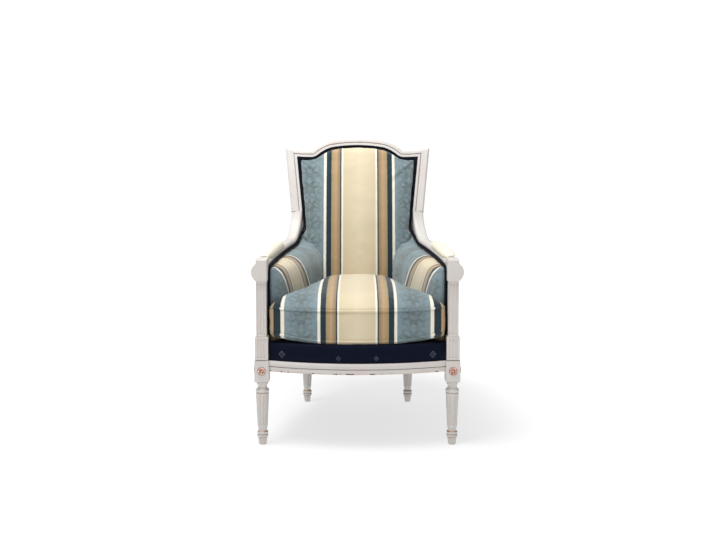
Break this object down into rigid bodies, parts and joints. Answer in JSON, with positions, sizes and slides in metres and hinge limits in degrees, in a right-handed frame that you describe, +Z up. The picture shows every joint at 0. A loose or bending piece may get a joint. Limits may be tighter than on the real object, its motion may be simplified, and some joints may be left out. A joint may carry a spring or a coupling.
{
  "type": "armchair",
  "caption": "Closed-arm upholstered armchair with a hat-shaped raked back, painted frame, turned fluted legs, padded arms and a loose box cushion.",
  "frame": {"origin": "floor level under the middle of the chair's box", "axes": "+Z up, the chair faces -Y, +X to the viewer's right when seen from the front"},
  "size_m": [0.66, 0.7398, 0.9727],
  "materials": {
    "painted_wood": "worn off-white paint with gilt rings",
    "bare_beech": "bare planed beech",
    "rosette_paint": "red-brown tinted carving",
    "screw_steel": "plain steel",
    "striped_fabric": "woven stripe with damask bands",
    "navy_cord": "fabric-covered double cord",
    "cream_fabric": "figured cream fabric",
    "navy_fabric": "navy fabric with small pale figures",
    "webbing": "jute webbing",
    "hessian": "plain hessian",
    "stuffing": "hair and wadding",
    "dust_cloth": "thin black cotton"
  },
  "bodies": {
    "chair": {"back_crest_rail": "painted_wood", "back_hessian": "hessian", "back_lower_rail": "bare_beech", "back_piping": "navy_cord", "back_stuffing": "stuffing", "back_webbing": "webbing", "block_rosettes": "rosette_paint", "corner_block_screws": "screw_steel", "corner_blocks": "bare_beech", "deck_cover": "navy_fabric", "dust_cover": "dust_cloth", "frame_dowels": "bare_beech", "front_seat_rail": "painted_wood", "inside_back_cover": "striped_fabric", "left_arm": "painted_wood", "left_arm_pad": "cream_fabric", "left_arm_piping": "navy_cord", "left_arm_post": "painted_wood", "left_front_leg": "painted_wood", "left_inside_arm_pad": "striped_fabric", "left_outside_arm_cover": "striped_fabric", "left_rear_post": "painted_wood", "left_seat_rail": "painted_wood", "outside_back_cover": "striped_fabric", "rear_seat_rail": "painted_wood", "right_arm": "painted_wood", "right_arm_pad": "cream_fabric", "right_arm_piping": "navy_cord", "right_arm_post": "painted_wood", "right_front_leg": "painted_wood", "right_inside_arm_pad": "striped_fabric", "right_outside_arm_cover": "striped_fabric", "right_rear_post": "painted_wood", "right_seat_rail": "painted_wood", "seat_hessian": "hessian", "seat_stuffing": "stuffing", "seat_webbing_crosswise": "webbing", "seat_webbing_lengthwise": "webbing"},
    "cushion": {"cushion_core": "stuffing", "cushion_cover": "striped_fabric", "cushion_welts": "striped_fabric"}
  },
  "joints": [
    {"name": "cushion_lift", "type": "slide", "parent": "chair", "child": "cushion", "axis": [0, 0, 1], "range_m": [0, 0.35]}
  ]
}
